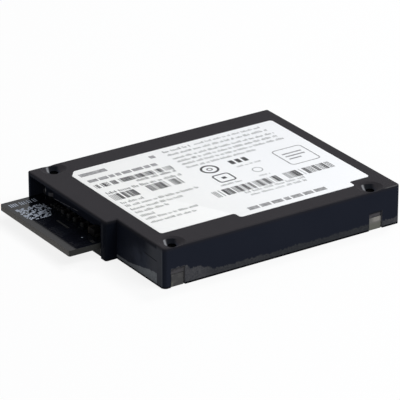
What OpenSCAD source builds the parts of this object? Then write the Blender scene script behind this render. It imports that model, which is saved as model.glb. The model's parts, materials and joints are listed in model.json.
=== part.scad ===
// Battery module for a storage controller card.
// A stepped moulded housing holds a flat cell and a small board. The board sticks out of an
// open bay at the left end and plugs into the card below it. Three screws hold the module down.
// X runs along the case, Y across it towards the back, Z up. Millimetres.

/* [Case] */
// Length of the case, without the board tongue
case_l = 75.3; // [70:0.1:90]
// Width of the case
case_w = 59.8; // [57:0.1:68]
// Height of the case
case_h = 11; // [10.4:0.1:14]
// Thickness of the side walls
wall = 1.2; // [1:0.05:1.4]
// Thickness of the roof
roof = 1.0; // [0.9:0.05:1.3]
// How far the front left corner is cut back along X
step_x = 3.3; // [2.8:0.1:3.6]
// How far the front left corner is cut back along Y
step_y = 21.7; // [19:0.1:23]
// Radius of the upright front left corner
front_corner_r = 1.2; // [0.7:0.1:2]
// Radius of the other upright corners
corner_r = 0.6; // [0.5:0.05:1]
// Radius of the edge round the top face
top_edge_r = 0.4; // [0.2:0.05:0.5]

/* [Bay] */
// Width of the post between the corner step and the bay
bay_post = 2.3; // [1.8:0.1:3]
// Height of the lower edge of the partition over the board
partition_z = 5.1; // [4.8:0.05:6]
// Gap between the partition and the back wall
partition_gap = 6.1; // [5.2:0.1:9]

/* [Screw columns] */
// Distance of each column from its long edge
column_inset = 2.8; // [2.7:0.05:3.2]
// Distance of the back column from the left end
back_column_x = 6.3; // [6:0.1:7]
// Distance of the front left column from the left end
front_column_x = 7.5; // [7.2:0.1:9]
// Distance of the front right column from the right end
right_column_x = 7.4; // [5:0.1:9]
// Radius of the columns
column_r = 2.4; // [2.3:0.05:2.6]
// Radius of the screw holes
screw_hole_r = 1.15; // [1:0.05:1.25]
// Radius of the funnels for the screw heads, measured at the roof
funnel_r = 3.4; // [3:0.05:3.6]
// Depth of the funnels, from the roof to the mouth of the hole
funnel_d = 1.05; // [0.8:0.05:1.1]
// Width of the window in the wall below each funnel
window_w = 4.2; // [3.8:0.1:4.6]
// Height of the windows
window_h = 5.0; // [4.4:0.1:5.4]

/* [Spacers] */
// Radius of the shank of each spacer sleeve
spacer_r = 1.7; // [1.55:0.05:1.8]
// Height of the foot of each spacer sleeve, which is as wide as its column
spacer_h = 3.4; // [3:0.1:3.8]
// Distance from the ceiling to the top of a shank
spacer_drop = 0.6; // [0.4:0.1:1]
// Clearance between a spacer and its pocket
spacer_fit = 0.05; // [0.02:0.01:0.1]
// Gap on each side of the toe that fills the window in front of a foot
toe_gap = 0.3; // [0.2:0.05:0.5]
// How far a toe lies behind the face of the wall
toe_inset = 0.3; // [0.2:0.05:0.5]

/* [Board] */
// Height of the underside of the board
board_z = 2.7; // [2.5:0.05:3]
// Thickness of the board
board_t = 1.6; // [1.2:0.1:1.6]
// How far the board sticks out of the bay
tongue_out = 9.15; // [8:0.05:12]
// How far the board reaches into the case
board_reach = 18.3; // [18:0.1:19.5]
// Clearance between the board and the walls
board_fit = 0.2; // [0.1:0.05:0.3]
// Radius of the corners of the board
board_corner_r = 0.5; // [0.2:0.1:1]

/* [Base cover] */
// Thickness of the base cover
base_t = 1.0; // [0.8:0.05:1.2]
// Depth of the rebate in the walls that takes the base cover
rebate = 0.5; // [0.3:0.05:0.6]
// Clearance round the base cover
base_fit = 0.1; // [0.05:0.01:0.15]
// How far the lip under the tongue stands back from the end of the case
lip_inset = 0.6; // [0.3:0.1:1]
// Thickness of the lip and of the ribs
rib_t = 1.0; // [0.8:0.1:1.2]

/* [Cell] */
// Thickness of the foam pad under the cell
lower_pad_t = 0.6; // [0.4:0.1:1]
// Thickness of the foam pad over the cell
upper_pad_t = 1.0; // [0.6:0.1:1.4]
// Margin between the edge of a pad and the edge of the cell
pad_margin = 3; // [2:0.5:8]
// Gap between the board and the cell
cell_board_gap = 0.7; // [0.5:0.1:1.5]
// Gap between the cell and the back and right walls
cell_wall_gap = 2.2; // [1.5:0.1:4]
// Clearance between the cell and what holds it
cell_fit = 0.15; // [0.05:0.05:0.3]
// Width of the sealed end of the cell
cell_seal = 2.5; // [1.5:0.1:4]
// Thickness of the sealed edges of the cell
seal_t = 0.3; // [0.2:0.05:0.5]
// Width of the cell tabs
tab_w = 4; // [3:0.1:5]
// Distance between the cell tabs
tab_pitch = 24; // [20:0.5:26]
// Thickness of the cell tabs
tab_t = 0.15; // [0.1:0.05:0.2]
// Length of each tab on the board
tab_foot = 2.2; // [1.5:0.1:2.5]

/* [Label] */
// Thickness of the label
label_t = 0.12; // [0.1:0.01:0.2]
// Distance from the left end of the case to the label
label_left = 7.5; // [6:0.1:9]
// Distance from the right end of the case to the label
label_right = 3.4; // [2.5:0.1:6]
// Distance from the back wall to the label
label_back = 7.1; // [6:0.1:9]
// Distance from the front wall to the main front edge of the label
label_front = 8.1; // [6.5:0.1:9]
// How far the tab of the label comes forward
label_tab = 2.7; // [1:0.1:3]
// Distance from the left edge of the label to its tab
label_tab_left = 22.2; // [15:0.1:28]
// Distance from the right edge of the label to its tab
label_tab_right = 6.8; // [6.5:0.1:12]
// Size of the chamfer at the back left corner of the label
label_chamfer = 2.4; // [1:0.1:5]
// Radius of the other corners of the label
label_r = 0.9; // [0.3:0.1:1.2]

/* [Connector] */
// Length of the board connector
conn_l = 20; // [18:0.5:24]
// Width of the board connector
conn_w = 5; // [4.4:0.1:5.5]
// Height of the board connector
conn_h = 2.3; // [2:0.05:2.4]
// Distance from the left end of the case to the middle of the connector
conn_x = 3.9; // [3.6:0.1:4.4]
// Distance from the bay post to the middle of the connector
conn_y = 17; // [16:0.5:19]
// Number of contacts in each row
conn_pins = 15; // [12:1:16]
// Distance between contacts
conn_pitch = 1; // [0.9:0.05:1.1]

/* [Hidden] */
$fn = 48;
eps = 0.01;
cut = 1;

// Screw columns: X, Y and the side of the nearest long edge
columns = [[back_column_x, case_w - column_inset, 1],
           [front_column_x, column_inset, -1],
           [case_l - right_column_x, column_inset, -1]];

// Inner faces of the case
in_x0 = step_x + wall;
in_x1 = case_l - wall;
in_y0 = wall;
in_y1 = case_w - wall;
ceiling = case_h - roof;
bay_y0 = step_y + bay_post;

// Spacers
spacer_top = ceiling - spacer_drop;

// Board
board_top = board_z + board_t;
board_y0 = bay_y0 + board_fit;
board_y1 = in_y1 - board_fit;
board_in_x0 = in_x0 + 1.5 * board_fit;
board_in_y0 = column_inset + column_r + 5 * board_fit;

// Cell
cell_x0 = board_reach + cell_board_gap;
cell_body_x0 = cell_x0 + cell_seal;
cell_x1 = in_x1 - cell_wall_gap;
cell_y0 = column_inset + column_r + 8 * cell_fit;
cell_y1 = in_y1 - cell_wall_gap;
cell_z0 = base_t + lower_pad_t;
cell_z1 = ceiling - upper_pad_t;
cell_mid_y = (cell_y0 + cell_y1) / 2;
tab_z = (cell_z0 + cell_z1) / 2;
seam_t = 2 * seal_t;

// ---- shared shapes ----

// Moves from the case's own corner to the middle of the whole module
module place() {
    translate([(tongue_out - case_l) / 2, -case_w / 2, 0]) children();
}

module rounded_rect(x0, y0, x1, y1, r) {
    translate([x0 + r, y0]) square([x1 - x0 - 2 * r, y1 - y0]);
    translate([x0, y0 + r]) square([x1 - x0, y1 - y0 - 2 * r]);
    for (x = [x0 + r, x1 - r], y = [y0 + r, y1 - r]) translate([x, y]) circle(r);
}

module box(x0, y0, z0, x1, y1, z1) {
    translate([x0, y0, z0]) cube([x1 - x0, y1 - y0, z1 - z0]);
}

// Stands something on the board with its middle at the given place
module on_board(at) {
    translate([at[0], at[1], board_top]) children();
}

// A block with rounded upright corners, its middle over the origin
module body_block(size_x, size_y, size_z, r = 0.1) {
    linear_extrude(size_z) rounded_rect(-size_x / 2, -size_y / 2, size_x / 2, size_y / 2, r);
}

// ---- housing ----

// An upright corner post with its top edge rounded
module corner_post(x, y, r) {
    translate([x, y, 0]) rotate_extrude($fn = 32) {
        square([r, case_h - top_edge_r]);
        square([r - top_edge_r, case_h]);
        intersection() {
            translate([r - top_edge_r, case_h - top_edge_r]) circle(top_edge_r, $fn = 32);
            square([r, case_h]);
        }
    }
}

// A block with rounded upright corners and a rounded top edge
module outer_block(x0, y0, x1, y1, first_r) {
    hull() {
        corner_post(x0 + first_r, y0 + first_r, first_r);
        corner_post(x1 - corner_r, y0 + corner_r, corner_r);
        corner_post(x0 + corner_r, y1 - corner_r, corner_r);
        corner_post(x1 - corner_r, y1 - corner_r, corner_r);
    }
}

module outer_shape() {
    outer_block(step_x, 0, case_l, case_w, front_corner_r);
    outer_block(0, step_y, in_x0 + wall, case_w, corner_r);
}

module inner_space() {
    inner_r = corner_r / 2;
    translate([0, 0, -cut]) linear_extrude(ceiling + cut)
        rounded_rect(in_x0, in_y0, in_x1, in_y1, inner_r);
    box(-cut, bay_y0, -cut, step_x, in_y1, ceiling);
    box(step_x - eps, bay_y0, -cut, in_x0 + eps, in_y1, partition_z);
    box(step_x - eps, in_y1 - partition_gap, -cut, in_x0 + eps, in_y1, ceiling);
}

// Plan of the base cover, grown by the given amount
module base_plan(grow) {
    edge = rebate - base_fit + grow;
    rounded_rect(in_x0 - edge, in_y0 - edge, in_x1 + edge, in_y1 + edge, corner_r / 2);
    translate([lip_inset - grow, bay_y0 + base_fit - grow])
        square([in_x0 - lip_inset + wall, in_y1 + edge - bay_y0 - base_fit + grow]);
}

// Ribs that hang from the roof and hold the cell and the board
module inner_ribs() {
    span_x = cell_x1 - cell_body_x0;
    span_y = cell_y1 - cell_y0;
    rib_z = cell_z0 + 1.4 * rib_t;
    for (k = [0.2, 0.5, 0.8]) {
        x = cell_body_x0 + k * span_x;
        box(x - rib_t / 2, in_y0 - eps, rib_z, x + rib_t / 2, cell_y0 - cell_fit, ceiling + eps);
        box(x - rib_t / 2, cell_y1 + cell_fit, rib_z, x + rib_t / 2, in_y1 + eps, ceiling + eps);
    }
    for (k = [0.25, 0.75]) {
        y = cell_y0 + k * span_y;
        box(cell_x1 + cell_fit, y - rib_t / 2, rib_z, in_x1 + eps, y + rib_t / 2, ceiling + eps);
    }
    for (y = [board_in_y0 + 7 * rib_t, in_y1 - 3 * rib_t])
        box(board_reach - 1.2 * rib_t, y - rib_t / 2, board_top,
            board_reach - 0.2 * rib_t, y + rib_t / 2, ceiling + eps);
    box(in_x0 - eps, board_in_y0 + 4 * rib_t, board_top,
        in_x0 + rib_t, board_in_y0 + 6 * rib_t, ceiling + eps);
}

// Everything that is cut away for one screw: funnel, hole, pockets and window. The funnel is wider
// than the strip of roof beside it, so it leaves a shallow notch in the edge of the wall.
module screw_cuts(x, y, side) {
    mouth_z = case_h - funnel_d;
    slope = (funnel_r - screw_hole_r) / funnel_d;
    translate([x, y, mouth_z])
        cylinder(r1 = screw_hole_r, r2 = funnel_r + slope * cut, h = funnel_d + cut);
    translate([x, y, spacer_h]) cylinder(r = screw_hole_r, h = case_h);
    translate([x, y, -cut]) cylinder(r = spacer_r + spacer_fit, h = spacer_top + spacer_fit + cut);
    translate([x, y, -cut]) cylinder(r = column_r + spacer_fit, h = spacer_h + cut);
    window_d = column_inset - column_r / 2;
    difference() {
        translate([x - window_w / 2, side > 0 ? case_w - window_d : -cut, -cut])
            cube([window_w, window_d + cut, window_h + cut]);
        translate([x, y, spacer_h]) cylinder(r = column_r, h = case_h);
    }
}

module housing() {
    color([0.17, 0.17, 0.18]) place() difference() {
        union() {
            difference() {
                outer_shape();
                inner_space();
            }
            for (c = columns) translate([c[0], c[1], 0]) cylinder(r = column_r, h = ceiling + eps);
            inner_ribs();
        }
        translate([0, 0, -cut]) linear_extrude(base_t + cut) difference() {
            base_plan(base_fit);
            for (c = columns) translate([c[0], c[1]]) circle(column_r);
        }
        for (c = columns) screw_cuts(c[0], c[1], c[2]);
    }
}

// ---- base cover ----

module base_cover() {
    rib_y1 = in_y1 - column_inset - column_r;
    lip_x1 = lip_inset + rib_t;
    color([0.12, 0.12, 0.13]) place() difference() {
        union() {
            linear_extrude(base_t) base_plan(0);
            box(lip_inset, bay_y0 + base_fit, 0, lip_x1, in_y1 - base_fit, board_z);
            for (x = [in_x0 + 2.5 * rib_t, board_reach - 2.2 * rib_t])
                box(x, board_in_y0 + rib_t, base_t - eps, x + rib_t, rib_y1, board_z);
        }
        for (c = columns)
            translate([c[0], c[1], -cut]) cylinder(r = column_r + base_fit, h = case_h);
        for (c = columns)
            translate([c[0], c[1] + c[2] * column_inset, base_t / 2])
                cube([window_w, 2 * wall, 2 * base_t], center = true);
    }
}

// ---- spacers ----

module mounting_spacers() {
    chamfer = 0.2;
    foot_h = spacer_h - spacer_fit;
    toe_w = window_w - 2 * toe_gap;
    toe_d = column_inset - toe_inset;
    color([0.82, 0.79, 0.7]) place() for (c = columns) translate([c[0], c[1], 0]) {
        rotate_extrude()
            polygon([[screw_hole_r, 0], [column_r - chamfer, 0], [column_r, chamfer],
                     [column_r, foot_h], [spacer_r, foot_h], [spacer_r, spacer_top - chamfer],
                     [spacer_r - chamfer, spacer_top], [screw_hole_r, spacer_top]]);
        linear_extrude(foot_h) difference() {
            translate([-toe_w / 2, c[2] > 0 ? 0 : -toe_d]) square([toe_w, toe_d]);
            circle((screw_hole_r + column_r) / 2);
        }
    }
}

// ---- label ----

module label_outline() {
    x0 = label_left;
    x1 = case_l - label_right;
    y0 = label_front;
    y1 = case_w - label_back;
    tab_x0 = x0 + label_tab_left;
    tab_x1 = x1 - label_tab_right;
    tab_y = y0 - label_tab;
    polygon([[x0, y0], [tab_x0, y0], [tab_x0, tab_y], [tab_x1, tab_y], [tab_x1, y0], [x1, y0],
             [x1, y1], [x0 + label_chamfer * 0.8, y1], [x0, y1 - label_chamfer]]);
}

module face_label() {
    color([0.95, 0.95, 0.94]) place() translate([0, 0, case_h]) linear_extrude(label_t)
        offset(r = label_r, $fn = 32) offset(delta = -label_r) label_outline();
}

// ---- board ----

module circuit_board() {
    color([0.05, 0.06, 0.07]) place() translate([0, 0, board_z]) linear_extrude(board_t)
        difference() {
            union() {
                rounded_rect(-tongue_out, board_y0, board_reach, board_y1, board_corner_r);
                rounded_rect(board_in_x0, board_in_y0, board_reach, board_y1, board_corner_r);
            }
            for (c = columns) translate([c[0], c[1]]) circle(column_r + board_fit);
            translate([back_column_x - column_r - board_fit, case_w - column_inset])
                square([2 * (column_r + board_fit), column_inset]);
        }
}

// ---- board connector under the tongue ----

conn_mid_x = -conn_x;
conn_mid_y = bay_y0 + conn_y;
conn_wall = 0.9;
conn_island = 1.0;
conn_floor = 0.7;
lead_t = 0.2;
lead_w = 0.4;
lead_fit = 0.02;

// Section of one contact: a foot beside the body, a bridge through its wall and a blade inside
module contact_section(grow) {
    half = conn_w / 2;
    bridge_z = board_z - conn_floor - lead_t;
    inner = half - conn_wall;
    translate([half, board_z - lead_t - grow]) square([lead_w * 2, lead_t + grow]);
    translate([half, bridge_z - grow]) square([lead_t + grow, board_z - bridge_z + grow]);
    translate([inner - lead_t - grow, bridge_z - grow])
        square([conn_wall + 2 * lead_t + 2 * grow, lead_t + 2 * grow]);
    translate([inner - lead_t - grow, board_z - conn_h + lead_t])
        square([lead_t + grow, bridge_z - board_z + conn_h - lead_t / 2]);
}

module contact_rows(grow) {
    for (m = [0, 1], k = [0 : conn_pins - 1])
        translate([conn_mid_x, conn_mid_y + (k - (conn_pins - 1) / 2) * conn_pitch, 0])
            mirror([m, 0, 0]) rotate([90, 0, 0])
                translate([0, 0, -lead_w / 2 - grow]) linear_extrude(lead_w + 2 * grow)
                    contact_section(grow);
}

module board_connector() {
    x0 = conn_mid_x - conn_w / 2;
    x1 = conn_mid_x + conn_w / 2;
    y0 = conn_mid_y - conn_l / 2;
    y1 = conn_mid_y + conn_l / 2;
    low = board_z - conn_h;
    color([0.85, 0.83, 0.76]) place() difference() {
        union() {
            difference() {
                translate([0, 0, low]) linear_extrude(conn_h) rounded_rect(x0, y0, x1, y1, 0.3);
                box(x0 + conn_wall, y0 + conn_wall, low - cut,
                    x1 - conn_wall, y1 - conn_wall, board_z - conn_floor);
            }
            box(conn_mid_x - conn_island / 2, y0 + 2 * conn_wall, low + lead_t,
                conn_mid_x + conn_island / 2, y1 - 2 * conn_wall, board_z - conn_floor + eps);
        }
        contact_rows(lead_fit);
    }
}

module connector_contacts() {
    color([0.85, 0.72, 0.35]) place() contact_rows(0);
}

// ---- cell ----

module cell() {
    color([0.75, 0.76, 0.78]) place() union() {
        translate([0, 0, cell_z0]) linear_extrude(cell_z1 - cell_z0)
            rounded_rect(cell_body_x0, cell_y0 + seam_t, cell_x1, cell_y1 - seam_t, 1.5);
        translate([0, 0, tab_z - seal_t / 2]) linear_extrude(seal_t)
            rounded_rect(cell_x0, cell_y0 + 2 * seam_t, cell_body_x0 + 2, cell_y1 - 2 * seam_t,
                         seal_t);
        for (y = [cell_y0, cell_y1 - seam_t])
            box(cell_body_x0 + 2, y, tab_z, cell_x1 - 2, y + seam_t, cell_z1 - seam_t);
    }
}

// A tab: a strip from the sealed end of the cell, cranked down onto the board
module cell_tab(side) {
    y = cell_mid_y + side * tab_pitch / 2;
    low = board_top;
    high = tab_z - tab_t / 2;
    x_bend = board_reach - 0.3;
    x_foot = x_bend - 0.7;
    translate([0, y + tab_w / 2, 0]) rotate([90, 0, 0]) linear_extrude(tab_w)
        polygon([[x_foot - tab_foot, low], [x_foot, low], [x_bend, high], [cell_x0, high],
                 [cell_x0, high + tab_t], [x_bend - tab_t / 2, high + tab_t],
                 [x_foot - tab_t / 2, low + tab_t], [x_foot - tab_foot, low + tab_t]]);
}

module positive_tab() {
    color([0.8, 0.8, 0.82]) place() cell_tab(1);
}

module negative_tab() {
    color([0.7, 0.66, 0.6]) place() cell_tab(-1);
}

module cell_pad(z0, z1) {
    translate([0, 0, z0]) linear_extrude(z1 - z0)
        rounded_rect(cell_body_x0 + pad_margin, cell_y0 + pad_margin,
                     cell_x1 - pad_margin, cell_y1 - pad_margin, 1);
}

module upper_cell_pad() {
    color([0.3, 0.3, 0.32]) place() cell_pad(cell_z1, ceiling);
}

module lower_cell_pad() {
    color([0.3, 0.3, 0.32]) place() cell_pad(base_t, cell_z0);
}

// ---- chips ----

// The parts stand on the board in two columns, one along the left wall and one along the cell.
// Both are measured from the middle of the cell, because the tabs and the thermistor are too.
function left_spot(x, y) = [in_x0 + x, cell_mid_y + y];
function cell_spot(x, y) = [board_reach - x, cell_mid_y + y];
// Places on the board under the bay, measured from the end of the case and the bay post
function bay_spot(x, y) = [x, bay_y0 + y];

// Bodies: width across the leads, length, height
gauge_body = [4.4, 9.7, 1.1];
memory_body = [3.9, 4.9, 1.5];
charger_body = [5, 5, 0.9];
transistor_body = [4.4, 3, 1.1];
// Distance of each column of parts from its side of the board
left_column = 4.3;
cell_column = 2.7;

gauge_at = left_spot(left_column, 1.6);
charger_at = left_spot(left_column, 15.1);
memory_at = left_spot(left_column, -19.1);
transistors_at = [left_spot(left_column, -13.6), cell_spot(4.6, 20.9)];
pin_mark_r = 0.3;
pin_mark_d = 0.1;

// Gull wing leads on both long sides of a chip body
module gull_leads(body, count, pitch) {
    half = body[0] / 2;
    rise = 0.5;
    metal = 0.15;
    foot = 0.5;
    knee = 0.35;
    for (m = [0, 1], k = [0 : count - 1])
        translate([0, (k - (count - 1) / 2) * pitch, 0]) mirror([m, 0, 0])
            rotate([90, 0, 0]) translate([0, 0, -pitch / 4]) linear_extrude(pitch / 2)
                polygon([[half, rise], [half + knee, rise], [half + knee + metal, 0],
                         [half + foot + foot, 0], [half + foot + foot, metal],
                         [half + knee + 1.7 * metal, metal],
                         [half + knee + 0.7 * metal, rise + metal], [half, rise + metal]]);
}

// A moulded chip body that stands a little above the board, with a mark at its first pin
module chip_body(body, stand = 0.1) {
    difference() {
        translate([0, 0, stand]) body_block(body[0], body[1], body[2] - stand, 0.15);
        translate([-body[0] / 2 + 3 * pin_mark_r, body[1] / 2 - 3 * pin_mark_r,
                   body[2] - pin_mark_d])
            cylinder(r = pin_mark_r, h = cut);
    }
}

module gauge_chip() {
    color([0.1, 0.1, 0.11]) place() on_board(gauge_at) chip_body(gauge_body);
}

module gauge_chip_leads() {
    color([0.75, 0.75, 0.78]) place() on_board(gauge_at) gull_leads(gauge_body, 19, 0.5);
}

module charger_chip() {
    color([0.1, 0.1, 0.11]) place() on_board(charger_at) chip_body(charger_body, 0);
}

module memory_chip() {
    color([0.1, 0.1, 0.11]) place() on_board(memory_at) chip_body(memory_body);
}

module memory_chip_leads() {
    color([0.75, 0.75, 0.78]) place() on_board(memory_at) gull_leads(memory_body, 4, 1.27);
}

module switch_transistors() {
    color([0.1, 0.1, 0.11]) place() for (p = transistors_at)
        on_board(p) chip_body(transistor_body);
}

module transistor_leads() {
    color([0.75, 0.75, 0.78]) place() for (p = transistors_at)
        on_board(p) gull_leads(transistor_body, 4, 0.65);
}

// ---- power parts ----

inductor_size = [5.2, 2.4];
fuse_size = [3, 3.4, 1.3];
sense_size = [2.5, 4.4, 0.6];
tantalum_size = [2.6, 3.5, 1.9];
diode_size = [2.5, 4.2, 2];
inductor_at = left_spot(left_column, -7);
fuse_at = cell_spot(cell_column + 0.2, -16.5);
sense_at = cell_spot(cell_column, 4.1);
tantalum_at = [bay_spot(1.6, 5.3), cell_spot(cell_column + 0.4, -6)];
diodes_at = [cell_spot(cell_column, 16.4), cell_spot(cell_column, -20.9)];

module power_inductor() {
    size = inductor_size[0];
    height = inductor_size[1];
    groove_d = 0.4;
    color([0.2, 0.2, 0.21]) place() on_board(inductor_at) difference() {
        intersection() {
            body_block(size, size, height, size / 13);
            rotate([0, 0, 45]) translate([0, 0, height / 2])
                cube([1.25 * size, 1.25 * size, height + cut], center = true);
        }
        translate([0, 0, height - groove_d]) difference() {
            cylinder(r = size * 0.42, h = cut);
            translate([0, 0, -cut]) cylinder(r = size * 0.34, h = 3 * cut);
        }
    }
}

module fuse_block() {
    end_w = 0.6;
    color([0.86, 0.84, 0.78]) place() on_board(fuse_at) union() {
        body_block(fuse_size[0], fuse_size[1] - end_w, 0.7 * fuse_size[2], 0.2);
        body_block(0.7 * fuse_size[0], fuse_size[1] - 2 * end_w, fuse_size[2], 0.2);
        for (s = [-1, 1]) translate([0, s * (fuse_size[1] - end_w) / 2, 0])
            body_block(0.7 * fuse_size[0], end_w, fuse_size[2] / 2);
    }
}

module sense_resistor() {
    end_w = 1;
    color([0.35, 0.35, 0.36]) place() on_board(sense_at) union() {
        body_block(sense_size[0], sense_size[1], sense_size[2]);
        for (s = [-1, 1]) translate([0, s * sense_size[1] / 2, 0])
            body_block(sense_size[0], end_w, 0.8 * sense_size[2]);
    }
}

// A moulded part with a flat terminal wrapped under each end
module moulded_part(size, term_w = 0.9, metal = 0.15) {
    translate([0, 0, metal])
        body_block(size[0], size[1] - 2 * metal, size[2] - metal, 0.2);
    for (s = [-1, 1]) translate([0, s * (size[1] - term_w) / 2, 0])
        body_block(2 * term_w, term_w, 2 * metal, 0.05);
}

module tantalum_capacitors() {
    color([0.72, 0.5, 0.2]) place() for (p = tantalum_at) on_board(p) moulded_part(tantalum_size);
}

module diodes() {
    color([0.14, 0.14, 0.15]) place() for (p = diodes_at) on_board(p) moulded_part(diode_size);
}

// ---- small parts ----

// Chip parts: length, width, height
capacitor_size = [2, 1.25, 1];
resistor_size = [1.6, 0.8, 0.45];
small_pitch = 2.4;
capacitors_at = [bay_spot(2.05, 11), bay_spot(2.05, 14.6), bay_spot(2.05, 17.6),
                 bay_spot(2.05, 20.4), cell_spot(2.2, -8.9), cell_spot(2.2, 8),
                 for (k = [0 : 2]) left_spot(1.7 + 3 * k, 9.4)];
resistors_at = [for (k = [0 : 2]) bay_spot(2, 23 + 1.6 * k),
                for (k = [0 : 2]) left_spot(2 + small_pitch * k, 18.3),
                for (k = [0 : 2]) cell_spot(4.2, -11.9 + 1.1 * k)];

// A chip part: a body between two plated ends that stand a little proud of it
module chip_part(size, end_w) {
    proud = 0.03;
    translate([0, 0, proud])
        body_block(size[0] - end_w, size[1] - 2 * proud, size[2] - 2 * proud, 0.05);
    for (s = [-1, 1])
        translate([s * (size[0] - end_w) / 2, 0, 0]) body_block(end_w, size[1], size[2]);
}

module ceramic_capacitors() {
    color([0.6, 0.5, 0.4]) place() for (p = capacitors_at)
        on_board(p) chip_part(capacitor_size, 0.4);
}

module chip_resistors() {
    color([0.12, 0.12, 0.14]) place() for (p = resistors_at)
        on_board(p) chip_part(resistor_size, 0.3);
}

module thermistor() {
    bead_r = 0.85;
    lead_r = 0.15;
    lead_l = 2.2;
    color([0.15, 0.12, 0.1]) place() on_board([board_reach - bead_r, cell_mid_y - 1.5]) union() {
        translate([0, 0, bead_r]) sphere(bead_r);
        for (y = [-0.35, 0.35]) translate([-lead_l, y, lead_r])
            rotate([0, 90, 0]) cylinder(r = lead_r, h = lead_l);
    }
}

housing();
base_cover();
mounting_spacers();
face_label();
circuit_board();
board_connector();
connector_contacts();
cell();
positive_tab();
negative_tab();
upper_cell_pad();
lower_cell_pad();
gauge_chip();
gauge_chip_leads();
charger_chip();
memory_chip();
memory_chip_leads();
switch_transistors();
transistor_leads();
power_inductor();
fuse_block();
sense_resistor();
tantalum_capacitors();
ceramic_capacitors();
chip_resistors();
diodes();
thermistor();
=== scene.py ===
import json
import math

import bpy
import numpy as np
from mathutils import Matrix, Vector


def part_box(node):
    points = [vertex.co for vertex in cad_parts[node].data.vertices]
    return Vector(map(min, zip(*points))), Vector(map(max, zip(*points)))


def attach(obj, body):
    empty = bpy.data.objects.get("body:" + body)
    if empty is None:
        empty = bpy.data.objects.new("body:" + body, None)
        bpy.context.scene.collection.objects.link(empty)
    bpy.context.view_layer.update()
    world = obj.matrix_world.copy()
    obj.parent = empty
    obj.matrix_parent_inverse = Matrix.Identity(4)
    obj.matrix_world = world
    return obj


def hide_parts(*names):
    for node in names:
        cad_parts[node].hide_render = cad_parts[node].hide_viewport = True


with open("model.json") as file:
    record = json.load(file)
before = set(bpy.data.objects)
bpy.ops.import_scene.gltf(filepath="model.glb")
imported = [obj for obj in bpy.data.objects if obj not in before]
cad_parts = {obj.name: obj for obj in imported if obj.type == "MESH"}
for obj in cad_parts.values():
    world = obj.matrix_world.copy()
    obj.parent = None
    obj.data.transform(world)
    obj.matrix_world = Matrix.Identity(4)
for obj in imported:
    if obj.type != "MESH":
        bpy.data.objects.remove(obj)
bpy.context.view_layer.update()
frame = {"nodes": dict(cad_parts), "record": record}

# ---- Housing ----
# One thin-walled moulding in black glass-filled plastic. Its mould is sparked over the roof, which
# comes out matt and grey, and smoother on the walls, which stay blue-black. A ragged band low on
# the outer walls is a little rougher, and painted lighter as a painted reflection of the table.

MM = 0.001
nodes = frame["nodes"]


class Wire:
    """A socket in a material; sums, differences, products and quotients add Math nodes."""

    def __init__(self, finish, socket):
        self.finish = finish
        self.socket = socket

    def maths(self, operation, *terms):
        return self.finish.node("Math", {"operation": operation}, dict(enumerate(terms)))

    def __add__(self, other):
        return self.maths("ADD", self, other)

    def __sub__(self, other):
        return self.maths("SUBTRACT", self, other)

    def __rsub__(self, other):
        return self.maths("SUBTRACT", other, self)

    def __mul__(self, other):
        return self.maths("MULTIPLY", self, other)

    def __truediv__(self, other):
        return self.maths("DIVIDE", self, other)

    def __rtruediv__(self, other):
        return self.maths("DIVIDE", other, self)

    __radd__ = __add__
    __rmul__ = __mul__

    def top(self, other):
        return self.maths("MAXIMUM", self, other)

    def size(self):
        return self.maths("ABSOLUTE", self)

    def step(self, low, high):
        """Rises smoothly from 0 at low to 1 at high; falls where low is above high."""
        return self.finish.node(
            "MapRange", {"interpolation_type": "SMOOTHSTEP"},
            {"Value": self, "From Min": min(low, high), "From Max": max(low, high),
             "To Min": float(low > high), "To Max": float(low <= high)})

    def within(self, low, high, soft):
        """1 from low to high, with a soft edge on both sides."""
        return self.step(low - soft, low + soft) * self.step(high + soft, high - soft)


class Nodes:
    """A tree of nodes, to which its wires add their own."""

    def __init__(self, tree):
        self.tree = tree

    def node(self, kind, settings, inputs, output=0):
        """Adds one node: its settings first, then the values or links of its sockets."""
        made = self.tree.nodes.new("ShaderNode" + kind)
        for name, value in settings.items():
            setattr(made, name, value)
        sockets = [s for s in made.inputs if s.enabled]
        for key, value in inputs.items():
            self.join(value, next(s for i, s in enumerate(sockets) if key in (i, s.name)))
        outs = [s for s in made.outputs if s.enabled and output in (0, s.name)]
        return Wire(self, outs[0]) if outs else None

    def join(self, value, socket):
        """Links a wire to the socket, or sets the socket to a number, a vector or a colour."""
        if isinstance(value, Wire):
            self.tree.links.new(value.socket, socket)
        elif socket.type == "RGBA":
            socket.default_value = (*value, 1.0)
        else:
            socket.default_value = value


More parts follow.
